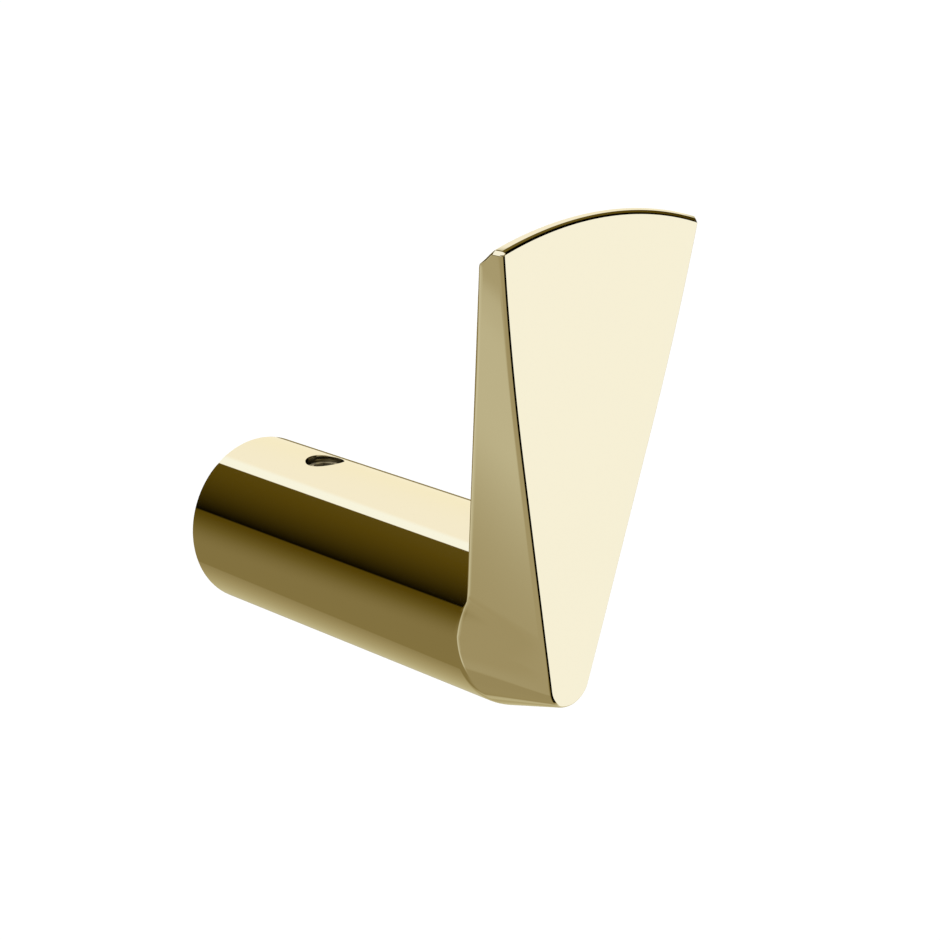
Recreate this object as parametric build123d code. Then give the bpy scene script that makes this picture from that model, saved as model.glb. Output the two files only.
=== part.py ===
from build123d import *
import os
from math import cos, radians, sin, sqrt, tan

# Robe hook for a wall: a round post with a fan-shaped plate on its front, cast as one piece,
# on a turned spigot that is screwed to the wall, held by a grub screw from above.
# The origin is the centre of the post's wall end. The wall is the plane y = 0, the post runs
# towards -Y, +Z is up, and the hook is symmetric about x = 0. Millimetres and degrees.

# Post
post_diameter = 20.0
post_length = 48.3          # wall to the line where the plate's back starts to lean
wall_edge_chamfer = 0.1

# Plate: both of its faces lean out at the top, the back more, so that it thins upwards
plate_depth = 7.5           # between the two faces, on the post's axis
face_lean = 5.0
back_lean = 12.0

# Front outline, measured in the front face, with heights from the post's axis
tip_radius = 3.05
tip_drop = 5.7              # centre of the tip's arc below the axis
side_angle = 13.15          # lean of the straight part of each side
straight_height = 21.0      # the sides are straight up to here, then curve inwards
top_width = 27.5            # between the two top corners
top_height = 45.8           # crown of the top edge
top_radius = 41.0

# Back outline, measured in the back face
neck_angle = 7.8            # lean of each side of the neck
neck_foot_angle = 21.5      # where the neck's side runs into the post, above the horizontal
neck_blend = 1.0            # reach of the hollow blend between neck and post
top_rise = 0.3              # the top edge climbs this much from front to back

# Stations of the ruled side faces: heights on the front sides that face points of the back outline
tip_turn = 25.0             # the tip's arc faces the post's underside up to this angle below horizontal
hinge_station = -4.2        # faces the post's horizontal diameter
flush_station = -1.5        # faces the end of the stretch that is flush with the post
neck_station = 0.3          # faces the foot of the neck

# Edges of the plate
top_land = 0.55             # left of the top edge in front of the slope behind it
slope_drop = 1.2            # of that slope, down the back face
slope_reach = 3.0           # the cut is this many times as large as the slope, to run clear of the back
corner_round = 0.05         # of the front face's two top corners, the edge outside adds face_round
face_round = 0.4            # the front face's edge is broken by this much

# Socket in the post, and the turned spigot that fills it
spigot_diameter = 12.8
spigot_length = 20.0
spigot_clearance = 0.1      # radial
spigot_nose_chamfer = 0.8
socket_spare_depth = 1.5    # beyond the spigot's nose
fixing_bore = 5.0
fixing_head = 9.4           # mouth of the countersink

# Grub screw, point down in a groove of the spigot
grub_from_wall = 12.9
grub_diameter = 4.4         # mean diameter of the thread
grub_length = 4.0
grub_clearance = 0.03       # radial
grub_point_angle = 90.0
grub_point_flat = 1.2       # diameter of the blunt end of the point
grub_key = 2.5              # across the flats of the socket
grub_key_depth = 1.8
grub_top_chamfer = 0.3
grub_seat_gap = 0.05
groove_depth = 1.2

post_radius = post_diameter / 2
spigot_radius = spigot_diameter / 2
socket_radius = spigot_radius + spigot_clearance
groove_radius = spigot_radius - groove_depth
grub_radius = grub_diameter / 2

BASE = (Align.CENTER, Align.CENTER, Align.MIN)


def leaning_plane(distance, lean):
    """A plane that crosses the post's axis at this distance from the wall and leans out at the top."""
    normal = (0, -cos(radians(lean)), -sin(radians(lean)))
    return Plane(origin=(0, -distance, 0), x_dir=(1, 0, 0), z_dir=normal)


wall_plane = leaning_plane(0, 0)
face_plane = leaning_plane(post_length + plate_depth, face_lean)
edge_plane = leaning_plane(post_length + plate_depth - face_round, face_lean)
back_plane = leaning_plane(post_length, back_lean)
post_end = leaning_plane(post_length, 0)


def outline(right_side, ends):
    """A closed flat wire: the edges of the right side, their mirror images, and what closes them."""
    left_side = [edge.mirror(Plane.YZ) for edge in right_side]
    return Wire(right_side + ends + left_side)


def flip(point):
    """The matching point on the left side."""
    return (-point[0], point[1])


def round_top(wire, corner, radius):
    """The same flat wire with both of its top corners rounded."""
    corners = [wire.vertices().sort_by_distance(point)[0] for point in (corner, flip(corner))]
    return wire.fillet_2d(radius, corners)


def side_foot(inset):
    """Where the tip's arc runs into the right side of the front outline, moved in by an inset."""
    radius = tip_radius - inset
    return (radius * cos(radians(side_angle)), -tip_drop - radius * sin(radians(side_angle)))


def on_front_side(height, inset):
    """The point of the front outline's straight right side at this height."""
    foot = side_foot(inset)
    return (foot[0] + (height - foot[1]) * tan(radians(side_angle)), height)


def front_corner(inset):
    """The right top corner of the front outline, on the arc of its top."""
    half_width = top_width / 2 - inset
    radius = top_radius - inset
    return (half_width, top_height - top_radius + sqrt(radius**2 - half_width**2))


# Back outline: an ellipse where the leaning back face cuts the post, a blend and the neck's side
face_to_back = cos(radians(face_lean)) / cos(radians(back_lean))
rise_on_back = top_rise / cos(radians(back_lean))
post_height_on_back = post_radius / cos(radians(back_lean))


def on_post_cut(angle):
    """The point of the ellipse, on the back face, at this angle around the post."""
    return (post_radius * cos(radians(angle)), post_height_on_back * sin(radians(angle)))


neck_foot = on_post_cut(neck_foot_angle)


def on_neck_side(height):
    """The point of the neck's right side at this height."""
    return (neck_foot[0] + (height - neck_foot[1]) * tan(radians(neck_angle)), height)


flush_angle = neck_foot_angle - neck_blend / radians(1) / post_radius
back_flush = on_post_cut(flush_angle)
back_neck = on_neck_side(neck_foot[1] + neck_blend)
back_corner = on_neck_side(front_corner(0)[1] * face_to_back + rise_on_back)
back_crown = (0, top_height * face_to_back + rise_on_back)
bend_share = (straight_height - neck_station) / (front_corner(0)[1] - neck_station)
back_bend = on_neck_side(back_neck[1] + bend_share * (back_corner[1] - back_neck[1]))


def tip_outline(plane, inset):
    """The front outline below the hinge: the tip's arc and the foot of each side."""
    foot = side_foot(inset)
    hinge = on_front_side(hinge_station, inset)
    tip_end = (0, -tip_drop - tip_radius + inset)
    return plane * outline(
        [Line(foot, hinge)],
        [ThreePointArc(foot, tip_end, flip(foot)), Line(hinge, flip(hinge))],
    )


def fan_outline(plane, inset):
    """The front outline above the hinge: straight sides, a gentle inward curve and the arched top."""
    hinge = on_front_side(hinge_station, inset)
    flush = on_front_side(flush_station, inset)
    neck = on_front_side(neck_station, inset)
    bend = on_front_side(straight_height, inset)
    corner = front_corner(inset)
    side_direction = (sin(radians(side_angle)), cos(radians(side_angle)))
    fan = outline(
        [
            Line(hinge, flush),
            Line(flush, neck),
            Line(neck, bend),
            TangentArc(bend, corner, tangent=side_direction),
        ],
        [ThreePointArc(corner, (0, top_height - inset), flip(corner)), Line(hinge, flip(hinge))],
    )
    return plane * round_top(fan, corner, corner_round + face_round - inset)


def lower_plate():
    """Below the post's axis: the tip of the fan runs back and outwards into the post's lower half."""
    post_half = post_end * outline(
        [CenterArc((0, 0), post_radius, -tip_turn, tip_turn)],
        [
            CenterArc((0, 0), post_radius, -180 + tip_turn, 180 - 2 * tip_turn),
            Line((post_radius, 0), (-post_radius, 0)),
        ],
    )
    sections = [tip_outline(face_plane, face_round), tip_outline(edge_plane, 0), post_half]
    return Solid.make_loft(sections, ruled=True)


def upper_plate():
    """Above the post's axis: the fan, ruled from its front outline to the neck on the leaning back."""
    neck_direction = (sin(radians(neck_angle)), cos(radians(neck_angle)))
    post_direction = (
        -post_radius * sin(radians(flush_angle)),
        post_height_on_back * cos(radians(flush_angle)),
    )
    neck = outline(
        [
            EllipticalCenterArc((0, 0), post_radius, post_height_on_back, 0, arc_size=flush_angle),
            Spline(back_flush, back_neck, tangents=[post_direction, neck_direction]),
            Line(back_neck, back_bend),
            Line(back_bend, back_corner),
        ],
        [
            ThreePointArc(back_corner, back_crown, flip(back_corner)),
            Line((post_radius, 0), (-post_radius, 0)),
        ],
    )
    rounded_neck = back_plane * round_top(neck, back_corner, corner_round + face_round)
    sections = [fan_outline(face_plane, face_round), fan_outline(edge_plane, 0), rounded_neck]
    return Solid.make_loft(sections, ruled=True)


def plate_on_post():
    """Post and plate as one piece. The post's end follows the two planes that the plate's back has."""
    long_post = Cylinder(post_radius, post_length + plate_depth, align=BASE)
    leaning_end = split(wall_plane * long_post, bisect_by=back_plane, keep=Keep.BOTTOM)
    post = wall_plane * Cylinder(post_radius, post_length, align=BASE)
    return Part() + [post, leaning_end, lower_plate(), upper_plate()]


def slope_cut():
    """What is cut away behind the top edge: a ring drawn back along the slope."""
    crown = edge_plane.from_local_coords((0, top_height, 0))
    crest = back_plane.from_local_coords((*back_crown, 0))
    land_end = crown + (crest - crown).normalized() * top_land
    slope = crest - back_plane.y_dir * slope_drop - land_end
    radius = top_radius * back_corner[0] / front_corner(0)[0]
    centre = land_end - face_plane.y_dir * radius
    reach = slope.length * slope_reach
    ring = Circle(radius + reach) - Circle(radius)
    cut_plane = Plane(origin=centre, x_dir=face_plane.x_dir, z_dir=face_plane.z_dir)
    return extrude(cut_plane * ring, amount=reach, dir=slope.normalized())


def hook_body():
    """The cast hook with its socket, the tapped hole for the grub screw and a broken wall edge."""
    body = plate_on_post() - slope_cut()
    wall_edge = body.edges().filter_by(GeomType.CIRCLE).sort_by_distance((post_radius, 0, 0))[0]
    body = chamfer(wall_edge, wall_edge_chamfer)
    body -= wall_plane * Cylinder(socket_radius, spigot_length + socket_spare_depth, align=BASE)
    tapped_hole = Cylinder(grub_radius + grub_clearance, post_diameter, align=BASE)
    body -= Pos(0, -grub_from_wall, 0) * tapped_hole
    return body


def wall_spigot():
    """The turned stub: a countersunk through bore, a V groove for the grub screw, a chamfered nose."""
    bore = fixing_bore / 2
    head = fixing_head / 2
    groove_flat = grub_point_flat / 2
    groove_mouth = groove_flat + groove_depth * tan(radians(grub_point_angle / 2))
    profile = Polyline(
        (bore, 0),
        (spigot_radius, 0),
        (spigot_radius, grub_from_wall - groove_mouth),
        (groove_radius, grub_from_wall - groove_flat),
        (groove_radius, grub_from_wall + groove_flat),
        (spigot_radius, grub_from_wall + groove_mouth),
        (spigot_radius, spigot_length - spigot_nose_chamfer),
        (spigot_radius - spigot_nose_chamfer, spigot_length),
        (head, spigot_length),
        (bore, spigot_length - (head - bore)),
        close=True,
    )
    return Rot(X=180) * revolve(make_face(profile), Axis.Y)


def grub_screw():
    """The set screw: a blunt cone point, a plain shank at the thread's mean diameter, a hexagon socket."""
    point_height = (grub_radius - grub_point_flat / 2) / tan(radians(grub_point_angle / 2))
    profile = Polyline(
        (0, 0),
        (grub_point_flat / 2, 0),
        (grub_radius, point_height),
        (grub_radius, grub_length - grub_top_chamfer),
        (grub_radius - grub_top_chamfer, grub_length),
        (0, grub_length),
        close=True,
    )
    screw = revolve(Plane.XZ * make_face(profile), Axis.Z)
    key = RegularPolygon(grub_key / 2, 6, major_radius=False)
    screw -= Pos(0, 0, grub_length - grub_key_depth) * extrude(key, grub_key_depth)
    return Pos(0, -grub_from_wall, groove_radius + grub_seat_gap) * screw


nodes = {
    "hook_body": hook_body(),
    "wall_spigot": wall_spigot(),
    "grub_screw": grub_screw(),
}
os.makedirs("parts", exist_ok=True)
for name, shape in nodes.items():
    export_step(shape, f"parts/{name}.step")
    print(name, round(shape.volume, 1), shape.bounding_box())
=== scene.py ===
# %% [markdown]
# # A polished robe hook
#
# The hook is a round post with a fan-shaped plate on its front, cast as one piece and polished until
# it is a mirror. A mirror shows every flaw of a mesh, so this lesson builds the skin of the hook from
# formulas, as rows and columns of points, instead of shading the triangles of the CAD model.
# The frame holds the CAD model: its box says how large the finished hook has to be.

import bpy
import numpy as np
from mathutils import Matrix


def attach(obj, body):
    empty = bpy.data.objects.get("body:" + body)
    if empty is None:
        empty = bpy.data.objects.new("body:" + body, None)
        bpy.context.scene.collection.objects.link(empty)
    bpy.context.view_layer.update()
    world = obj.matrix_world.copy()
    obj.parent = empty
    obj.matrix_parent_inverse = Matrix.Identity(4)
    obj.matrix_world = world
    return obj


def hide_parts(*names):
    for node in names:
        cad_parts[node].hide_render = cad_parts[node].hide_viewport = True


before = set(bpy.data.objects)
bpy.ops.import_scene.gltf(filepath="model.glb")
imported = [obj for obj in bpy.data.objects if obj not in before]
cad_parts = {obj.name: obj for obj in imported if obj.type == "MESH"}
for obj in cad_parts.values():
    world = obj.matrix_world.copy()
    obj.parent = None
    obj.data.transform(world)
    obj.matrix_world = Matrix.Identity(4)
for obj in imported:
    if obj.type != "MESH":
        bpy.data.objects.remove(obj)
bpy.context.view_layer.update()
MM = 0.001
print("nodes:", sorted(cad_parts))

# %% [markdown]
# ## Sizes
#
# All sizes are in millimetres and degrees, as a maker would write them. The wall is the plane y = 0,
# the post runs towards -Y and +Z is up. Both faces of the plate lean out at the top, the back one
# more, so the plate gets thinner upwards.

# %% Sizes of the hook
post_radius, post_length, wall_chamfer = 10.0, 48.3, 0.1
plate_depth, face_lean, back_lean = 7.5, np.radians(5.0), np.radians(12.0)

tip_radius, tip_drop = 3.05, 5.7
side_angle, straight_height = np.radians(13.15), 21.0
top_width, top_height, top_radius = 27.5, 45.8, 41.0
corner_round, face_round = 0.45, 0.4

neck_angle, neck_foot_angle, neck_blend = np.radians(7.8), np.radians(21.5), 1.0
top_rise, top_land, slope_drop = 0.3, 0.55, 1.2
tip_turn, hinge_height, flush_height, neck_height = np.radians(25.0), -4.2, -1.5, 0.3

socket_radius, socket_depth = 6.5, 21.5
hole_from_wall, hole_radius = 12.9, 2.23
print("post", 2 * post_radius, "mm across and", post_length, "mm long")

# %% [markdown]
# ## Curves
#
# Every outline is a chain of lines and arcs. A curve is kept as an array of closely spaced points,
# and is read by its length: `along` gives the point at a distance from the curve's start.


# %% Lines, arcs and their lengths
def line(start, end, count=200):
    """Points from start to end in equal steps."""
    share = np.linspace(0, 1, count)[:, None]
    return np.asarray(start) + share * (np.asarray(end) - np.asarray(start))


def arc(centre, radius, first, last, count=400):
    """Points of a circle: centre + radius (cos a, sin a), with a from first to last."""
    angle = np.linspace(first, last, count)
    return np.asarray(centre) + radius * np.stack([np.cos(angle), np.sin(angle)], 1)


def tangent_arc(start, direction, end, count=400):
    """The arc that leaves start along a direction and ends at end: its radius is chord / (2 sin turn)."""
    chord = np.asarray(end) - np.asarray(start)
    turn = np.arctan2(direction[0] * chord[1] - direction[1] * chord[0], np.dot(direction, chord))
    radius = np.hypot(*chord) / (2 * np.sin(turn))
    left = np.array([-direction[1], direction[0]])
    angle = np.linspace(0, 2 * turn, count)[:, None]
    return start + radius * (np.sin(angle) * direction + (1 - np.cos(angle)) * left)


def lengths(points):
    """The distance along the curve from its start to each of its points."""
    return np.concatenate([[0], np.cumsum(np.linalg.norm(np.diff(points, axis=0), axis=1))])


def along(points, distance):
    """The points of a curve at these distances from its start."""
    place = lengths(points)
    return np.stack([np.interp(distance, place, points[:, k]) for k in range(points.shape[1])], 1)


quarter = arc((0, 0), 1.0, 0, np.pi / 2)
print("a quarter of a round of radius 1 measures", round(lengths(quarter)[-1], 4))

# %% [markdown]
# Two curves join straight stretches. A conic is the designer's soft corner: it leaves one straight line
# and meets the next without a kink. A cubic can also join two lines in an S. Both are drawn flat, and
# then laid on a leaning plane.


# %% Soft corners and leaning planes
def conic(first, corner, last, share, weight=0.75):
    """A rational quadratic curve from first to last that is tangent to both legs of the corner."""
    a, b, c = (1 - share) ** 2, 2 * weight * share * (1 - share), share**2
    return (a * first + b * corner + c * last) / (a + b + c)


def rounded_join(side, top, radius, count=60):
    """Two flat curves that meet in a corner, trimmed by radius / tan(half angle) and joined by a conic."""
    leg_a, leg_b = side[-2] - side[-1], top[1] - top[0]
    cosine = leg_a @ leg_b / (np.linalg.norm(leg_a) * np.linalg.norm(leg_b))
    half = np.arccos(cosine) / 2
    trim = radius / np.tan(half)
    side_cut = along(side, np.linspace(0, lengths(side)[-1] - trim, len(side)))
    top_cut = along(top, np.linspace(trim, lengths(top)[-1], len(top)))
    share = np.linspace(0, 1, count)[:, None]
    return side_cut, conic(side_cut[-1], side[-1], top_cut[0], share, np.sin(half)), top_cut


def cubic_join(start, lead, end, trail, share):
    """The cubic from start to end that leaves with the slope lead and arrives with the slope trail."""
    return (
        start * (1 + 2 * share) * (1 - share) ** 2
        + lead * share * (1 - share) ** 2
        + end * share**2 * (3 - 2 * share)
        - trail * share**2 * (1 - share)
    )


def on_plane(distance, lean, flat):
    """Points of a leaning plane: across stays x, and a height goes up by cos(lean) and out by sin(lean)."""
    across, height = flat[:, 0], flat[:, 1]
    return np.stack([across, -distance - height * np.sin(lean), height * np.cos(lean)], 1)


soft_middle = conic(np.array([1.0, 0.0]), np.zeros(2), np.array([0.0, 1.0]), 0.5)
print("middle of a soft square corner:", soft_middle.round(3))

# %% [markdown]
# ## The two outlines of the plate
#
# The front outline starts at the bottom of the tip and goes up the right side to the crown. The back
# outline starts under the post, follows the post's round, leaves it in a short hollow blend and goes
# up the neck. Only the right halves are drawn, because the hook is symmetric.

# %% Right half of the front outline
foot = tip_radius * np.array([np.cos(side_angle), -np.sin(side_angle)]) - [0, tip_drop]
side_way = np.array([np.sin(side_angle), np.cos(side_angle)])
bend = foot + side_way * (straight_height - foot[1]) / side_way[1]
top_centre = np.array([0, top_height - top_radius])
top_angle = np.arccos(top_width / 2 / top_radius)
corner = top_centre + top_radius * np.array([np.cos(top_angle), np.sin(top_angle)])

tip = arc((0, -tip_drop), tip_radius, -np.pi / 2, -side_angle)
side = np.concatenate([line(foot, bend)[:-1], tangent_arc(bend, side_way, corner)])
top = arc(top_centre, top_radius, top_angle, np.pi / 2)
side, front_corner, top = rounded_join(side, top, corner_round)
front = np.concatenate([tip[:-1], side[:-1], front_corner[:-1], top])

slope_zone = 1.4
tip_end = lengths(tip)[-1]
side_end = tip_end + lengths(side)[-1]
side_heights = np.array([hinge_height, flush_height, neck_height, straight_height])
front_marks = np.array([
    0, tip_end, *(tip_end + (side_heights - foot[1]) / side_way[1]),
    side_end - slope_zone, side_end, side_end + lengths(front_corner)[-1], lengths(front)[-1],
])
print("front outline, half length in mm:", round(front_marks[-1], 2))

# %% Right half of the back outline
tall_radius = post_radius / np.cos(back_lean)
ellipse = np.array([post_radius, tall_radius])
neck_way = np.array([np.sin(neck_angle), np.cos(neck_angle)])
neck_foot = ellipse * [np.cos(neck_foot_angle), np.sin(neck_foot_angle)]
flush_angle = neck_foot_angle - neck_blend / post_radius
flush = ellipse * [np.cos(flush_angle), np.sin(flush_angle)]
neck_start = neck_foot + neck_way * neck_blend / neck_way[1]

face_to_back = np.cos(face_lean) / np.cos(back_lean)
rise = top_rise / np.cos(back_lean)
back_height = corner[1] * face_to_back + rise
back_corner = neck_foot + neck_way * (back_height - neck_foot[1]) / neck_way[1]
crown_rise = (top_height - corner[1]) * face_to_back
back_radius = (back_corner[0] ** 2 + crown_rise**2) / (2 * crown_rise)
back_centre = np.array([0, back_height + crown_rise - back_radius])

under = arc((0, 0), post_radius, -np.pi / 2, 0)
flat_post = ellipse * arc((0, 0), 1.0, 0, flush_angle, 200)
leave = ellipse * [-np.sin(flush_angle), np.cos(flush_angle)]
reach = np.linalg.norm(neck_start - flush)
lead = reach * leave / np.linalg.norm(leave)
blend = cubic_join(flush, lead, neck_start, reach * neck_way, np.linspace(0, 1, 200)[:, None])
neck = line(neck_start, back_corner, 800)
crest = arc(back_centre, back_radius, np.arccos(back_corner[0] / back_radius), np.pi / 2)
neck, rear_corner, crest = rounded_join(neck, crest, corner_round)

lower = np.stack([under[:, 0], np.full(len(under), -post_length), under[:, 1]], 1)
upper = np.concatenate([flat_post[1:-1], blend[:-1], neck[:-1], rear_corner[:-1], crest])
back = np.concatenate([lower, on_plane(post_length, back_lean, upper)])

flush_mark = lengths(lower)[-1] + lengths(flat_post)[-1]
neck_mark = flush_mark + lengths(blend)[-1]
neck_end = neck_mark + lengths(neck)[-1]
bend_share = (straight_height - neck_height) / (corner[1] - neck_height)
back_marks = np.array([
    0, post_radius * (np.pi / 2 - tip_turn), lengths(lower)[-1], flush_mark,
    neck_mark, neck_mark + bend_share * lengths(neck)[-1],
    neck_end - slope_zone, neck_end, neck_end + lengths(rear_corner)[-1], lengths(back)[-1],
])
print("back outline, half length in mm:", round(back_marks[-1], 2))

# %% [markdown]
# ## Columns
#
# The side of the plate is a ruled surface: a straight line joins each point of the front outline to
# its partner on the back outline. The partners are fixed at a few marks and eased between them, so
# that the lines turn evenly. A jump in their turning would show in the polish as a crease. Columns
# crowd together where the outline turns quickly, and spread out along the straight sides.


# %% Partner points on both outlines
def eased(x, stations, values):
    """A smooth rising curve through the stations: a monotone cubic with harmonic-mean slopes."""
    step, rise = np.diff(stations), np.diff(values) / np.diff(stations)
    slope = np.concatenate([rise[:1], 2 / (1 / rise[:-1] + 1 / rise[1:]), rise[-1:]])
    k = np.clip(np.searchsorted(stations, x) - 1, 0, len(step) - 1)
    share = (x - stations[k]) / step[k]
    return cubic_join(values[k], slope[k] * step[k], values[k + 1], slope[k + 1] * step[k], share)


columns = 261
# One value for each stretch between two marks.
crowding = np.array([1.5, 1.5, 2.0, 2.5, 0.6, 0.6, 4.0, 9.0, 1.0])
# The marks that later cells need, counted from the bottom.
at_flush, at_corner, past_corner = 3, 7, 8
span = crowding * (np.diff(front_marks) + np.diff(back_marks)) / 2
column_marks = np.concatenate([[0], np.cumsum(span)])
column = np.linspace(0, column_marks[-1], columns)

front_flat = along(front, eased(column, column_marks, front_marks))
edge = on_plane(post_length + plate_depth - face_round, face_lean, front_flat)
rear = along(back, eased(column, column_marks, back_marks))

heading = np.gradient(front_flat, axis=0)
heading /= np.linalg.norm(heading, axis=1)[:, None]
outward = np.stack([heading[:, 1], -heading[:, 0]], 1)
outward[[0, -1]] = [[0, -1], [0, 1]]
face_flat = front_flat - face_round * outward
face_edge = on_plane(post_length + plate_depth, face_lean, face_flat)
print("columns on one half:", columns)

# %% [markdown]
# ## The corner facets
#
# The two upper corners are not quite round: the polisher took each of them down to a small flat that
# flashes white. Its points are the round corner's points, squashed on to the straight line (the chord)
# between the corner's two ends.


# %% Squash the corners of both outlines
def squashed(points, first, last, keep):
    """Points between two ends keep only a share of their distance from the chord between the ends."""
    chord = last - first
    share = np.clip((points - first) @ chord / (chord @ chord), 0, 1)[:, None]
    foot_points = first + share * chord
    return foot_points + keep * (points - foot_points)


facet_bulge = 0.12
corner_ends = [at_corner, past_corner]
in_corner = (column > column_marks[at_corner]) & (column < column_marks[past_corner])
front_ends = along(front, front_marks[corner_ends])
front_ends = on_plane(post_length + plate_depth - face_round, face_lean, front_ends)
rear_ends = along(back, back_marks[corner_ends])
edge[in_corner] = squashed(edge[in_corner], *front_ends, facet_bulge)
rear[in_corner] = squashed(rear[in_corner], *rear_ends, facet_bulge)
print("columns on a corner facet:", int(in_corner.sum()))

# %% [markdown]
# ## Where the edges of the plate lie
#
# Each column is a profile through the plate: front face, front edge, side, slope behind the top edge,
# back face, post. Its sharp corners are worked out first. The slope is a round surface drawn back
# along one direction, so the place where a side line meets it comes from a quadratic equation.


# %% Corner of the front edge
def unit(vectors):
    """Each vector divided by its length."""
    return vectors / np.linalg.norm(vectors, axis=-1, keepdims=True)


face_normal = np.array([0, -np.cos(face_lean), -np.sin(face_lean)])
back_normal = np.array([0, -np.cos(back_lean), -np.sin(back_lean)])
face_up = np.array([0, -np.sin(face_lean), np.cos(face_lean)])
back_up = np.array([0, -np.sin(back_lean), np.cos(back_lean)])

least_leg = 0.06
ahead = unit(edge - rear)
front_depth = face_round * np.cos(face_lean)
front_point = edge + ahead * (front_depth / (ahead @ face_normal))[:, None]
flat_outward = outward[:, :1] * [1, 0, 0] + outward[:, 1:] * face_up
leg = np.einsum("ij,ij->i", front_point - face_edge, flat_outward)
front_point = np.where((leg < least_leg)[:, None], face_edge + least_leg * flat_outward, front_point)
print("front corners moved outwards:", int(np.sum(leg < least_leg)))

# %% Where the slope cuts the sides
land_end = edge[-1] + unit(rear[-1] - edge[-1]) * top_land
slope = unit(rear[-1] - back_up * slope_drop - land_end)
slope_radius = top_radius * back_corner[0] / corner[0]


def on_slope_section(points):
    """A point's x and height where the slope's direction through it meets the section at the land's end."""
    offset = points - land_end
    slid = offset - slope * ((offset @ face_normal) / (slope @ face_normal))[:, None]
    return np.stack([slid[:, 0], slid @ face_up + slope_radius], 1)


start, way = on_slope_section(edge), on_slope_section(rear) - on_slope_section(edge)
squared = np.sum(way**2, 1)
half_linear = np.sum(start * way, 1)
constant = np.sum(start**2, 1) - slope_radius**2
root = np.sqrt(np.maximum(half_linear**2 - squared * constant, 0))
cut = np.clip((root - half_linear) / squared, 0, 1)
cut = np.where(np.sum((start + way) ** 2, 1) > slope_radius**2, cut, 1.0)
ridge = edge + cut[:, None] * (rear - edge)


def slid_to_back(points):
    """Where lines from these points along the slope's direction meet the plane of the back face."""
    drop = (points - [0, -post_length, 0]) @ back_normal / (slope @ back_normal)
    return points - slope * drop[:, None]


sloped = (cut < 1)[:, None]
heel = np.where(sloped, slid_to_back(ridge), rear)
print("columns cut by the slope:", int(np.sum(sloped)))

# %% Where the profiles meet the post
on_post = column <= column_marks[at_flush]
post_turn = np.where(
    on_post,
    np.arctan2(rear[:, 2], rear[:, 0]),
    np.interp(column, [column_marks[at_flush], column_marks[-1]], [flush_angle, np.pi / 2]),
)
ring = post_radius * np.stack([np.cos(post_turn), np.zeros(columns), np.sin(post_turn)], 1)
seat = ring - [0, post_length, 0]
seat[:, 1] -= np.maximum(ring[:, 2], 0) * np.tan(back_lean)
print("columns on the post's own round:", int(np.sum(on_post)))

# %% [markdown]
# ## Soft edges
#
# Polishing rounds every edge a little, and those thin rounds catch the light. Each corner of a
# profile gets two tangent points, one on each leg, and a conic between them. Where a leg is short the
# round shrinks with it, and where the back face runs out at the neck it ends on the post. On the slope
# the round starts square to the slope's edge: the cross product of the edge's direction and the slope's
# normal points that way. At the corners such starts would cross, so their x is made to fall steadily.

# %% Reach of the rounds
ridge_round, slope_side_round, rear_round = 0.12, 0.35, 0.5
fade_length, least_fade = 0.35, 0.2
# A round takes at most these shares of the slope behind the top edge.
ridge_share, rear_share = 0.5, 0.45
first_cut = int(np.argmax(cut < 1))
slope_leg = np.linalg.norm(heel - ridge, axis=1)
corner_span = column_marks[past_corner] - column_marks[at_corner]
on_side = np.clip((column_marks[past_corner] - column) / corner_span, 0, 1)
below = np.clip((column[first_cut] - column) / fade_length, 0, 1)
plain_reach = rear_round * np.maximum(below, least_fade)
rear_reach = np.where(cut < 1, np.minimum(rear_round, rear_share * slope_leg), plain_reach)
ridge_reach = ridge_round + on_side * (slope_side_round - ridge_round)
ridge_reach = np.minimum(ridge_reach, ridge_share * slope_leg)[:, None]
print("the rear round reaches", rear_reach.min().round(2), "to", rear_reach.max().round(2), "mm")

# %% Start of the slope
smoothing = 11
section = on_slope_section(ridge)
section_way = section[:, 1:] * [1, 0, 0] - section[:, :1] * face_up
slope_normal = unit(np.cross(section_way, slope))
slope_normal *= np.sign(slope_normal[:, 2:])
square = unit(np.cross(np.gradient(ridge, axis=0), slope_normal))
square[-1] = slope
ridge_end = ridge + square * ridge_reach
steady = np.minimum.accumulate(ridge_end[first_cut:, 0])
steady = np.pad(steady, smoothing // 2, mode="reflect", reflect_type="odd")
steady = np.convolve(steady, np.full(smoothing, 1 / smoothing), "valid")
inward = (steady - ridge_end[first_cut:, 0])[:, None]
ridge_end[first_cut:] += inward * (section_way / section[:, 1:])[first_cut:]
heel = np.where(sloped, slid_to_back(ridge_end), heel)
print("starts moved by up to", np.abs(inward).max().round(3), "mm")

# %% Tangent points of the rounds
front_leg, least_front, tiny = 0.2, 0.02, 1e-6
backward = unit(rear - edge)
side_first = edge + backward * (front_leg * np.clip(on_side, least_front, 1))[:, None]
towards_seat = seat - heel
seat_leg = np.linalg.norm(towards_seat, axis=1)
towards_seat = np.where((seat_leg > tiny)[:, None], towards_seat / np.maximum(seat_leg, tiny)[:, None], 0)
seat_leg = np.where(on_post, 0, seat_leg)
over_back = np.minimum(rear_reach, seat_leg)[:, None]
along_post = np.maximum(rear_reach - seat_leg, 0)[:, None]
rear_reach = rear_reach[:, None]

ridge_start = ridge - backward * ridge_reach
heel_start = np.where(sloped, heel - slope * rear_reach, heel - backward * rear_reach)
heel_end = heel + towards_seat * over_back + [0, 1, 0] * along_post
side_last = np.where(sloped, ridge_start, heel_start)
ridge_end = np.where(sloped, ridge_end, heel_start)
ridge_corner = np.where(sloped, ridge, heel_start)
seat_end = np.where(on_post[:, None] | (along_post > 0), heel_end, seat)
print("columns whose soft edge ends on the post:", int(np.sum(along_post > 0)))

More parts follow.
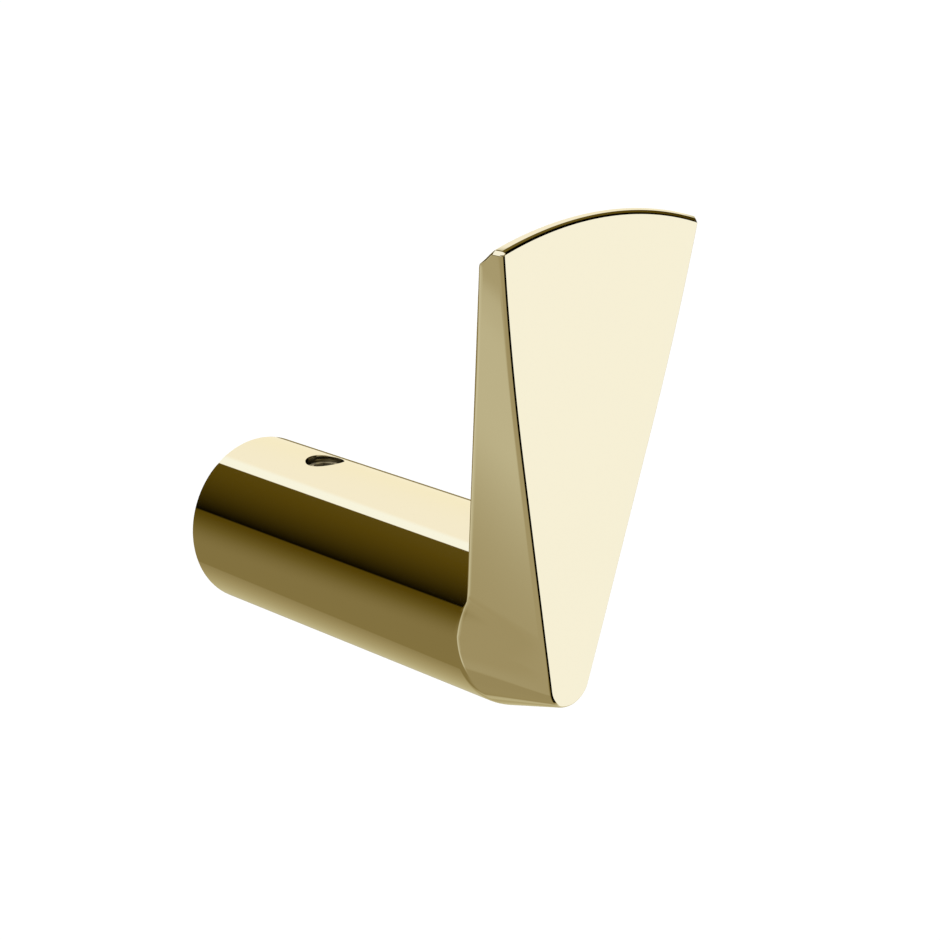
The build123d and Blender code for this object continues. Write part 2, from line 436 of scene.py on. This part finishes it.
# %% [markdown]
# ## From profiles to rows
#
# A grid of points is a stack of rows. They go from the middle of the front face to the edge, over the
# side and the back, along the post, round the wall end and down into the socket. Straight stretches
# need few rows, and the soft corners need more.


# %% Plate and neck
def rows_between(first, last, shares):
    """Rows of points at these shares of the way from one row to another."""
    shares = np.asarray(shares)[:, None, None]
    return first + shares * (last - first)


def conic_rows(first, middle, last, count):
    """Rows of a soft corner."""
    return conic(first, middle, last, np.linspace(0, 1, count)[:, None, None])


spine_top = 0.85 * top_height
spine = np.stack([np.zeros(columns), np.clip(front_flat[:, 1], -tip_drop, spine_top)], 1)
spine = on_plane(post_length + plate_depth, face_lean, spine)
plate_rows = np.concatenate([
    rows_between(spine, face_edge, [0, 0.3, 0.6, 0.85, 0.97, 0.995]),
    conic_rows(face_edge, front_point, side_first, 13),
    rows_between(side_first, side_last, np.linspace(0.01, 0.99, 30)),
    conic_rows(side_last, ridge_corner, ridge_end, 7),
    rows_between(ridge_end, heel_start, [0.05, 0.5, 0.95]),
    conic_rows(heel_start, heel, heel_end, 8),
    rows_between(heel_end, seat_end, [0.01, 0.3, 0.6, 0.97, 1.0]),
])
print("rows of the plate:", len(plate_rows))

# %% [markdown]
# ## The post
#
# The post is a plain round, so it is made of rings along its axis. They have the plate's columns, and so
# plate and post join without a seam. The rings go on round the wall end, into the socket and across its
# floor. A stretch in the middle is left out for the screw hole.

# %% Post, wall end and socket
hole_reach = 3.2
patch_first, patch_last = -hole_from_wall - hole_reach, -hole_from_wall + hole_reach


def ring_at(radius, y):
    """The ring of the right half's columns on a round of this radius, at one distance from the wall."""
    return ring * (radius / post_radius) + [0, y, 0]


def tube_rows(radius, stations):
    """Rings of points along the post's axis."""
    return np.stack([ring_at(radius, y) for y in stations])


guard, first_ring, near, far = 0.04, -44.0, 0.12, 0.45
post_rings = tube_rows(post_radius, np.linspace(first_ring, patch_first, 8))
post_front = np.concatenate([[seat_end, seat_end + [0, guard, 0]], post_rings])
wall_edge = tube_rows(post_radius, [patch_last, -5.0, -1.0, -wall_chamfer - guard, -wall_chamfer])
wall_end_rows = np.stack([
    ring_at(post_radius, -wall_chamfer),
    ring_at(post_radius - near * wall_chamfer, -far * wall_chamfer),
    ring_at(post_radius - far * wall_chamfer, -near * wall_chamfer),
    ring_at(post_radius - wall_chamfer, 0),
    ring_at(post_radius - wall_chamfer - guard, 0),
    ring_at(socket_radius, 0),
    ring_at(socket_radius, -1.0),
    ring_at(socket_radius, patch_last),
])
socket_end = np.stack([ring_at(socket_radius, patch_first), ring_at(socket_radius, -socket_depth),
                       ring_at(0.0, -socket_depth)])
print("rings along the post:", len(post_front) + len(wall_edge))

# %% [markdown]
# ## The screw hole
#
# The hole on top of the post interrupts the grid. A rectangle of cells is left out there, and rings of
# points run from its border to the hole's rim. They stay on the round: their height is
# sqrt(radius^2 - x^2). The same patch is used inside, on the wall of the socket.

# %% Patch round the hole
patch_turn, patch_rows, patch_rings, ring_crowding = np.radians(27.5), 17, 12, 0.8
patch_y = np.linspace(patch_first, patch_last, patch_rows)
inside = int(np.argmax(post_turn > np.pi / 2 - patch_turn))
patch_columns = 2 * (columns - inside) - 1


def both_sides(rows):
    """Rows of the right half, from bottom to crown, closed by their mirror image on the left."""
    left = rows[:, -2:0:-1] * [-1, 1, 1]
    return np.concatenate([rows, left], 1)


def tube_with_gap(radius):
    """The cells between the patch's two ends, without those that the hole's patch replaces."""
    rows = both_sides(tube_rows(radius, patch_y))
    rows = np.roll(rows, -(inside + patch_columns - 1), axis=1)
    return rows[:, : rows.shape[1] - patch_columns + 2]


def patch_border(radius):
    """The points round the left-out rectangle, once round."""
    rows = both_sides(tube_rows(radius, patch_y))[:, inside : inside + patch_columns]
    return np.concatenate([rows[0, :-1], rows[:-1, -1], rows[-1, :0:-1], rows[:0:-1, 0]])


outer_border = patch_border(post_radius)
bearing = np.arctan2(outer_border[:, 1] + hole_from_wall, outer_border[:, 0])


def hole_patch(radius, rim):
    """Rings on the round from the rectangle's border to a rim round the hole's axis."""
    border = patch_border(radius)
    rim_x, rim_y = rim * np.cos(bearing), rim * np.sin(bearing) - hole_from_wall
    rim_points = np.stack([rim_x, rim_y, np.sqrt(radius**2 - rim_x**2)], 1)
    rows = rows_between(border, rim_points, np.linspace(0, 1, patch_rings) ** ring_crowding)
    rows[..., 2] = np.sqrt(radius**2 - rows[..., 0] ** 2)
    rows[0] = border
    return rows


print("columns left out for the hole:", patch_columns)

# %% [markdown]
# The hole is bored straight down through the wall of the post. Its rim is a saddle, because a round
# hole meets a round post, and its edge is broken by a small conic all the way round.

# %% Hole from the post's skin to the socket
rim_round = 0.12
outer_patch = hole_patch(post_radius, hole_radius + rim_round)
inner_patch = hole_patch(socket_radius, hole_radius)
rim_out, rim_in = outer_patch[-1], inner_patch[-1]
circle = np.stack([np.cos(bearing), np.sin(bearing), np.zeros(len(bearing))], 1)
axis_point = np.array([0, -hole_from_wall, 0])
rim_corner = axis_point + hole_radius * circle
rim_corner[:, 2] = np.sqrt(post_radius**2 - rim_corner[:, 0] ** 2)
wall_top = rim_corner - [0, 0, rim_round]
wall_foot = axis_point + hole_radius * circle + [0, 0, 1] * rim_in[:, 2:]
hole_rows = rows_between(wall_top, wall_foot, [0.01, 0.3, 0.7, 1.0])
hole_skin = np.concatenate([conic_rows(rim_out, rim_corner, wall_top, 6), hole_rows])
print("points round the hole:", len(bearing))

# %% [markdown]
# ## One closed skin
#
# Four neighbours of a grid make a cell. The cells of all the grids are collected first, as loose quads.
# Inside the post a grid is seen from its other side, so its rows are turned round. Then points that
# coincide become one vertex, and a quad that has collapsed to a line is dropped, so the skin has no seam.


# %% Cells of all the grids
def grid_quads(rows, closed=True):
    """The corners of each cell of a grid of points, counter-clockwise from outside."""
    ahead_rows = np.concatenate([rows, rows[:, :1]], 1) if closed else rows
    a, b = ahead_rows[:-1, :-1], ahead_rows[1:, :-1]
    c, d = ahead_rows[1:, 1:], ahead_rows[:-1, 1:]
    return np.stack([a, b, c, d], 2).reshape(-1, 4, 3)


def flip(rows):
    """The same grid seen from its other side."""
    return rows[::-1]


quads = np.concatenate([
    grid_quads(both_sides(plate_rows)),
    grid_quads(both_sides(post_front)),
    grid_quads(tube_with_gap(post_radius), closed=False),
    grid_quads(outer_patch),
    grid_quads(hole_skin),
    grid_quads(flip(inner_patch)),
    grid_quads(flip(tube_with_gap(socket_radius)), closed=False),
    grid_quads(both_sides(wall_edge)),
    grid_quads(both_sides(wall_end_rows)),
    grid_quads(both_sides(socket_end)),
])
print("loose cells:", len(quads))

# %% One skin for the whole hook
crease_angle, decimals = np.radians(28), 5


def weld(name, cells):
    """A mesh object from loose quads in mm: equal points become one vertex, collapsed cells are dropped."""
    points = np.round(cells.reshape(-1, 3), decimals)
    vertices, index = np.unique(points, axis=0, return_inverse=True)
    corners = index.reshape(-1, 4)
    keep = corners != np.roll(corners, 1, axis=1)
    keep[keep.sum(1) < 3] = False
    sizes = keep.sum(1)
    sizes = sizes[sizes > 2]
    mesh = bpy.data.meshes.new(name)
    mesh.vertices.add(len(vertices))
    mesh.vertices.foreach_set("co", (vertices * MM).ravel())
    mesh.loops.add(int(sizes.sum()))
    mesh.loops.foreach_set("vertex_index", corners[keep].astype(np.int32))
    mesh.polygons.add(len(sizes))
    mesh.polygons.foreach_set("loop_start", np.concatenate([[0], np.cumsum(sizes)[:-1]]).astype(np.int32))
    mesh.update(calc_edges=True)
    mesh.validate()
    mesh.shade_smooth()
    mesh.set_sharp_from_angle(angle=crease_angle)
    piece = bpy.data.objects.new(name, mesh)
    bpy.context.scene.collection.objects.link(piece)
    print(name, "faces", len(sizes), "loops less twice the edges", len(mesh.loops) - 2 * len(mesh.edges))
    return piece


hook = weld("hook_skin", quads)
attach(hook, "root")
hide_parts("hook_body")
low, high = np.array(hook.bound_box).min(0) / MM, np.array(hook.bound_box).max(0) / MM
print("skin from", low.round(2), "to", high.round(2), "mm")

# %% [markdown]
# ## Finishes
#
# Polished metal is a mirror with a colour. What gives it life is small: the buffing wheel leaves fine
# lines that widen the reflections a little in places. A picture of such marks would stretch and repeat,
# so one node group makes them from noise in object coordinates, and every metal here uses it with its
# own values. A few helpers keep the node code short: they feed a socket with a plain value or with the
# output of another node.


# %% Buffing marks, shared by the metals
def feed(tree, socket, item):
    """Gives a socket a plain value, or links it to the output of another node."""
    if isinstance(item, bpy.types.NodeSocket):
        tree.links.new(item, socket)
    else:
        socket.default_value = item


def node(tree, kind, *items, **settings):
    """A new node: settings are its properties or named sockets, and items feed its sockets in order."""
    made = tree.nodes.new(kind)
    for name, value in settings.items():
        if hasattr(made, name):
            setattr(made, name, value)
        else:
            feed(tree, made.inputs[name.replace("_", " ")], value)
    for socket, item in zip(made.inputs, items):
        feed(tree, socket, item)
    return made


def new_group(name, inputs, outputs):
    """A shader node group with these named sockets, the values that it gets and those that it puts out."""
    tree = bpy.data.node_groups.new(name, "ShaderNodeTree")
    for in_out, sockets in (("INPUT", inputs), ("OUTPUT", outputs)):
        for socket, kind in sockets.items():
            tree.interface.new_socket(socket, in_out=in_out, socket_type="NodeSocket" + kind)
    return tree, tree.nodes.new("NodeGroupInput").outputs, tree.nodes.new("NodeGroupOutput").inputs


def buffing_group():
    """Outputs a tint and a roughness that drift over the metal, and the height of its fine lines."""
    values = {"Fineness": "Float", "Smooth": "Float", "Dull": "Float"}
    values |= {"Light Tint": "Color", "Deep Tint": "Color"}
    results = {"Color": "Color", "Roughness": "Float", "Height": "Float"}
    tree, given, out = new_group("buffing_marks", values, results)
    place = node(tree, "ShaderNodeTexCoord").outputs["Object"]
    cloud = node(tree, "ShaderNodeTexNoise", place, Scale=60.0, Detail=3.0).outputs["Fac"]
    stretched = node(tree, "ShaderNodeMapping", place, Scale=(1.0, 0.06, 1.0)).outputs["Vector"]
    lines = node(tree, "ShaderNodeTexNoise", stretched, Scale=given["Fineness"], Detail=4.0, Roughness=0.6)
    tint = node(tree, "ShaderNodeMix", data_type="RGBA", Factor=cloud,
                A=given["Light Tint"], B=given["Deep Tint"])
    gloss = node(tree, "ShaderNodeMapRange", cloud, To_Min=given["Smooth"], To_Max=given["Dull"])
    feed(tree, out["Color"], tint.outputs["Result"])
    feed(tree, out["Roughness"], gloss.outputs["Result"])
    feed(tree, out["Height"], lines.outputs["Fac"])
    return tree


buffing = buffing_group()
print("node group:", buffing.name, "of", len(buffing.nodes), "nodes")

# %% [markdown]
# A lathe leaves something else: one fine groove that winds round the axis. Its height is the sine of
# the radius plus the place along the axis, so the same sum makes rings on the spigot's end and rings
# along its round.


# %% Turning marks, for the spigot
def math(tree, operation, *items, clamp=False):
    """One sum on values."""
    return node(tree, "ShaderNodeMath", *items, operation=operation, use_clamp=clamp).outputs[0]


def vector_math(tree, operation, *items, result="Vector"):
    """One sum on vectors. Its result is a vector, or a value where it is a length or a product."""
    return node(tree, "ShaderNodeVectorMath", *items, operation=operation).outputs[result]


def turning_group():
    """Outputs sin(2 pi (sqrt(x^2 + z^2) + y) / pitch), the height of a lathe's grooves round the Y axis."""
    tree, given, out = new_group("turning_marks", {"Pitch": "Float"}, {"Height": "Float"})
    place = node(tree, "ShaderNodeTexCoord").outputs["Object"]
    radius = vector_math(tree, "LENGTH", vector_math(tree, "MULTIPLY", place, (1, 0, 1)), result="Value")
    along_axis = node(tree, "ShaderNodeSeparateXYZ", place).outputs["Y"]
    turns = math(tree, "DIVIDE", math(tree, "ADD", radius, along_axis), given["Pitch"])
    feed(tree, out["Height"], math(tree, "SINE", math(tree, "MULTIPLY", turns, 2 * np.pi)))
    return tree


turning = turning_group()
print("node group:", turning.name, "of", len(turning.nodes), "nodes")

# %% [markdown]
# The three metals are now a matter of values: pale gold with hardly a mark, brass straight from the
# lathe, and the plated steel of a small screw. All of them share one tint for grazing light, because
# any metal is paler there.

# %% The three metals
grazing_tint, mark_depth, groove_pitch = (0.99, 0.96, 0.80, 1), 0.02, 0.3


def metal(name, light, deep, smooth, dull, fineness, bump_strength, turned=False):
    """A metal whose tint and gloss come from the buffing marks, and its fine lines from wheel or lathe."""
    material = bpy.data.materials.new(name)
    material.use_nodes = True
    tree = material.node_tree
    marks = node(tree, "ShaderNodeGroup", node_tree=buffing, Light_Tint=(*light, 1), Deep_Tint=(*deep, 1),
                 Smooth=smooth, Dull=dull, Fineness=fineness).outputs
    grooves = marks
    if turned:
        grooves = node(tree, "ShaderNodeGroup", node_tree=turning, Pitch=groove_pitch * MM).outputs
    bump = node(tree, "ShaderNodeBump", Strength=bump_strength, Distance=mark_depth * MM,
                Height=grooves["Height"])
    shader = tree.nodes["Principled BSDF"].inputs
    feed(tree, shader["Metallic"], 1.0)
    feed(tree, shader["Specular Tint"], grazing_tint)
    feed(tree, shader["Base Color"], marks["Color"])
    feed(tree, shader["Roughness"], marks["Roughness"])
    feed(tree, shader["Normal"], bump.outputs["Normal"])
    return material


def dress(piece, material):
    """The piece shows this material only."""
    piece.data.materials.clear()
    piece.data.materials.append(material)


gold = metal("polished_gold", light=(0.935, 0.875, 0.655), deep=(0.925, 0.865, 0.645),
             smooth=0.02, dull=0.035, fineness=1500.0, bump_strength=0.01)
brass = metal("turned_brass", light=(0.76, 0.64, 0.37), deep=(0.68, 0.56, 0.31),
              smooth=0.22, dull=0.34, fineness=2600.0, bump_strength=0.25, turned=True)
steel = metal("plated_steel", light=(0.80, 0.72, 0.50), deep=(0.70, 0.63, 0.43),
              smooth=0.34, dull=0.46, fineness=3200.0, bump_strength=0.15)
dress(hook, gold)
dress(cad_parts["wall_spigot"], brass)
dress(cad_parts["grub_screw"], steel)
print("dressed:", hook.name, "and", len(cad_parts) - 1, "pieces of the solid model")

# %% [markdown]
# Little light gets deep into a narrow hole, so both metals get a painted shade there that darkens their
# colour.
# The shade begins just below the mouth and grows with depth, but only close to the hole's axis and only
# down to where the hole ends.

# %% Painted shade in the holes
shade_start, shade_end = 0.02, 0.5


def painted_hole_shade_group():
    """Paints shade into a colour: multiplies it by a factor that falls with depth below a centre, within a
    radius of its Z axis.
    """
    values = {"Color": "Color", "Centre": "Vector", "Radius": "Float", "Depth": "Float", "Darkest": "Float"}
    tree, given, out = new_group("painted_hole_shade", values, {"Color": "Color"})
    place = node(tree, "ShaderNodeTexCoord").outputs["Object"]
    offset = vector_math(tree, "SUBTRACT", place, given["Centre"])
    radius = vector_math(tree, "LENGTH", vector_math(tree, "MULTIPLY", offset, (1, 1, 0)), result="Value")
    depth = math(tree, "MULTIPLY", node(tree, "ShaderNodeSeparateXYZ", offset).outputs["Z"], -1.0)
    outside = math(tree, "GREATER_THAN", radius, given["Radius"])
    beyond = math(tree, "GREATER_THAN", depth, given["Depth"])
    # Painted shade: the colour darkens from the mouth downwards.
    shade = node(tree, "ShaderNodeMapRange", depth, interpolation_type="SMOOTHSTEP",
                 From_Min=shade_start * MM, From_Max=shade_end * MM, To_Min=1.0, To_Max=given["Darkest"])
    kept = math(tree, "MAXIMUM", math(tree, "MAXIMUM", outside, beyond), shade.outputs["Result"])
    darkened = node(tree, "ShaderNodeVectorMath", given["Color"], operation="SCALE", Scale=kept)
    feed(tree, out["Color"], darkened.outputs["Vector"])
    return tree


painted_hole_shade = painted_hole_shade_group()


def paint_hole_shade(material, mouth, radius, depth, darkest):
    """Puts the painted shade between a metal's tint and its shader. Sizes are in mm."""
    tree = material.node_tree
    base = tree.nodes["Principled BSDF"].inputs["Base Color"]
    shade = node(tree, "ShaderNodeGroup", node_tree=painted_hole_shade, Color=base.links[0].from_socket,
                 Centre=(0, -hole_from_wall * MM, mouth * MM), Radius=radius * MM, Depth=depth * MM,
                 Darkest=darkest)
    feed(tree, base, shade.outputs["Color"])


screw_end, shade_margin = 9.25, 0.05
# Painted shade down the gold's screw hole and in the socket of the steel screw.
paint_hole_shade(gold, mouth=post_radius, radius=hole_radius + shade_margin, depth=4.0, darkest=0.2)
paint_hole_shade(steel, mouth=screw_end, radius=1.5, depth=2.0, darkest=0.6)
print("holes shaded below", post_radius, "and", screw_end, "mm")

# %% [markdown]
# ## The studio
#
# A mirror has no look of its own: it shows the room. The camera sees plain white. The metal sees a
# studio with a white wall behind it on the right, a dim warm room on the left, a small lamp that the
# corner facets catch and a pale screen in front. Lamps would do it too, but a polished edge needs sharp
# and exact borders. So the room is a brightness worked out from the direction of the ray: soft steps
# along x, y, z or a slanted direction, multiplied, added or the largest of them. The limits of a step
# are how far the ray points that way, from -1 to 1.

# %% World seen by the camera and by the metal
world = bpy.data.worlds.new("studio")
bpy.context.scene.world = world
world.use_nodes = True
sky = world.node_tree
sky.nodes.clear()
ray = node(sky, "ShaderNodeTexCoord").outputs["Generated"]
to_right, to_wall, to_top = node(sky, "ShaderNodeSeparateXYZ", ray).outputs


def along_ray(right, wall, top):
    """How far the ray points along a direction: the dot product of the two."""
    return vector_math(sky, "DOT_PRODUCT", ray, (right, wall, top), result="Value")


def soft_step(value, start, end, low=0.0, high=1.0):
    """Goes smoothly from low to high while the value goes from start to end."""
    made = node(sky, "ShaderNodeMapRange", value, interpolation_type="SMOOTHSTEP",
                From_Min=start, From_Max=end, To_Min=low, To_Max=high)
    return made.outputs["Result"]


def merged(operation, first, *others):
    """Brightness values taken together one after another, by one operation."""
    for other in others:
        first = math(sky, operation, first, other)
    return first


dim_start, dim_rise = 0.10, 0.125
dim_room = math(sky, "MULTIPLY", math(sky, "SUBTRACT", to_top, dim_start), dim_rise, clamp=True)
dim_room = merged("MULTIPLY", dim_room, soft_step(to_wall, -0.46, -0.30))
past_left_edge = along_ray(1.0, -0.174, 0.395)
past_right_edge = along_ray(0.5, -1.0, 0.0)
white_wall = merged(
    "MULTIPLY",
    soft_step(past_left_edge, -0.006, 0.006),
    soft_step(past_right_edge, -0.105, -0.145),
    soft_step(past_left_edge, 0.11, 0.19, low=1.04, high=0.946),
)
corner_lamp = soft_step(along_ray(-0.74, -0.37, 0.56), 0.970, 0.982)
pale_screen = merged(
    "MULTIPLY",
    soft_step(to_top, 0.0, 0.9, low=0.03, high=0.5),
    soft_step(to_right, 0.12, -0.10),
    soft_step(to_wall, -0.42, -0.60),
)
room = merged("MAXIMUM", dim_room, white_wall, corner_lamp, pale_screen)
print("nodes of the room:", len(sky.nodes))

# %% [markdown]
# Below the horizon the metal sees the studio's floor, which is dull on the left and lit on the right.
# The sides of the plate and the lower half of the post show it. Its front part is black, and that draws
# the thin dark line along the edge of the front face.

# %% Floor of the room, below the horizon
dull_floor = soft_step(to_top, 0.12, -0.42, low=0.053, high=0.19)
light_rise, light_start = 0.45, 0.0135
into_light = along_ray(1.0, 0.556, 0.264)
lit_floor = merged("ADD", merged("MULTIPLY", into_light, light_rise), light_start)
lit_floor = merged("MULTIPLY", lit_floor, soft_step(into_light, 0.066, 0.076),
                   soft_step(to_top, -0.05, -0.60, low=0.2))
bright_below = merged("MULTIPLY", soft_step(to_right, 0.03, 0.12, high=0.19),
                      soft_step(to_top, -0.80, -0.88))
right_light = merged("ADD", lit_floor, bright_below)

left_level = merged("ADD", soft_step(to_top, -0.60, -0.77, low=0.12, high=0.145),
                    soft_step(to_top, -0.79, -0.83, high=-0.06))
left_floor = merged("MULTIPLY", soft_step(to_wall, 0.22, 0.10), left_level)
steep_floor = soft_step(to_top, -0.85, -0.97, high=0.09)
glow = merged("ADD", soft_step(to_wall, -0.115, 0.02, high=0.19), soft_step(to_wall, 0.03, 0.07, high=0.06))
glow = merged("MULTIPLY", glow, soft_step(to_right, -0.45, -0.70), soft_step(to_wall, 0.20, 0.13))
pale_card = merged("MULTIPLY", soft_step(to_wall, -0.35, -0.16, high=0.055),
                   soft_step(to_wall, -0.005, -0.06), soft_step(to_right, -0.785, -0.815))
left_light = merged("ADD", merged("MAXIMUM", left_floor, steep_floor), glow, pale_card)

front_right = merged("MULTIPLY", soft_step(to_wall, 0.35, -0.25), soft_step(to_right, 0.15, 0.5))
floor_light = merged("ADD", dull_floor, merged("MAXIMUM", left_light, right_light), front_right)
black_front = merged(
    "MULTIPLY",
    soft_step(along_ray(0.643, -0.766, 0.0), -0.05, 0.05),
    soft_step(along_ray(-0.866, -0.5, 0.0), -0.05, 0.10),
    soft_step(to_top, -0.28, -0.36),
)
floor_light = merged("MINIMUM", floor_light, 1.0)
floor_light = merged("MULTIPLY", floor_light, math(sky, "SUBTRACT", 1.0, black_front))
print("nodes of room and floor:", len(sky.nodes))

# %% [markdown]
# The horizon tilts a little and sinks towards the front. A colour ramp then turns brightness into
# colour: black, warm brown, olive and cream up to white. Only rays that left a mirror see this room.

# %% Room and floor meet at the horizon
above_horizon = merged("ADD", along_ray(0.11, 0.0, 1.0), soft_step(to_wall, 0.0, -0.5, high=0.17))
below_horizon = soft_step(above_horizon, 0.040, 0.014)
brightness = node(sky, "ShaderNodeMix", data_type="FLOAT", Factor=below_horizon, A=room, B=floor_light)

brightest = 1.1
stops = (
    (0.00, (0.0, 0.0, 0.0)),
    (0.06, (0.093, 0.060, 0.004)),
    (0.11, (0.150, 0.110, 0.025)),
    (0.19, (0.240, 0.190, 0.079)),
    (0.31, (0.366, 0.310, 0.180)),
    (0.50, (0.537, 0.500, 0.368)),
    (0.95, (0.985, 0.950, 0.922)),
    (1.04, (1.010, 1.040, 1.110)),
)
warm = node(sky, "ShaderNodeValToRGB", math(sky, "DIVIDE", brightness.outputs["Result"], brightest))
ramp = warm.color_ramp.elements
for light, colour in stops[1:-1]:
    ramp.new(light / brightest)
for stop, (light, colour) in zip(ramp, stops):
    stop.position = light / brightest
    stop.color = (*colour, 1)

white = (1, 1, 1, 1)
in_mirror = node(sky, "ShaderNodeLightPath").outputs["Is Glossy Ray"]
seen = node(sky, "ShaderNodeMix", data_type="RGBA", Factor=in_mirror, A=white, B=warm.outputs["Color"])
background = node(sky, "ShaderNodeBackground", seen.outputs["Result"])
node(sky, "ShaderNodeOutputWorld", background.outputs["Background"])
print("nodes of the studio:", len(sky.nodes), "with", len(ramp), "colours")

# %% [markdown]
# ## Floor
#
# The hook hangs on a wall, so the floor lies well below it and only closes the picture. It is pale,
# glows a little so that it reaches white, and lets the camera through from below.

# %% Floor below the hook
floor_drop, floor_half = 0.25, 4.0
corners = np.array([[-1, -1, 0], [1, -1, 0], [1, 1, 0], [-1, 1, 0]]) * floor_half - [0, 0, floor_drop]
floor_mesh = bpy.data.meshes.new("floor")
floor_mesh.from_pydata(corners.tolist(), [], [(0, 1, 2, 3)])
floor = bpy.data.objects.new("floor", floor_mesh)
bpy.context.scene.collection.objects.link(floor)
floor.visible_glossy = False

paper = bpy.data.materials.new("pale_floor")
paper.use_nodes = True
tree = paper.node_tree
tree.nodes.clear()
matt = node(tree, "ShaderNodeBsdfDiffuse", Color=(0.9, 0.9, 0.9, 1)).outputs[0]
shine = node(tree, "ShaderNodeEmission", Strength=0.14).outputs[0]
pale = node(tree, "ShaderNodeAddShader", matt, shine).outputs[0]
clear = node(tree, "ShaderNodeBsdfTransparent").outputs[0]
from_below = node(tree, "ShaderNodeNewGeometry").outputs["Backfacing"]
node(tree, "ShaderNodeOutputMaterial", node(tree, "ShaderNodeMixShader", from_below, pale, clear).outputs[0])
dress(floor, paper)
print("floor", 2 * floor_half, "m wide,", floor_drop, "m below the post's axis")

# %% [markdown]
# ## Camera
#
# The camera stands to the left, a little above the post, about a third of a metre away. Its long lens
# was worked out from the two edges of the post and the round of its wall end.

# %% Camera at the photograph's angle
image_width, focal_pixels, sensor = 940, 2779.0, 36.0
azimuth, elevation = np.radians(-40.657), np.radians(15.767)
camera_place = (-0.190172, -0.26025, 0.096712)
lens = bpy.data.cameras.new("camera")
lens.sensor_width = sensor
lens.lens = focal_pixels * sensor / image_width
camera = bpy.data.objects.new("camera", lens)
camera.location = camera_place
camera.rotation_euler = (np.pi / 2 - elevation, 0, azimuth)
bpy.context.scene.collection.objects.link(camera)
bpy.context.scene.camera = camera
bpy.context.scene.view_settings.view_transform = "Standard"
print("lens:", round(lens.lens, 2), "mm")
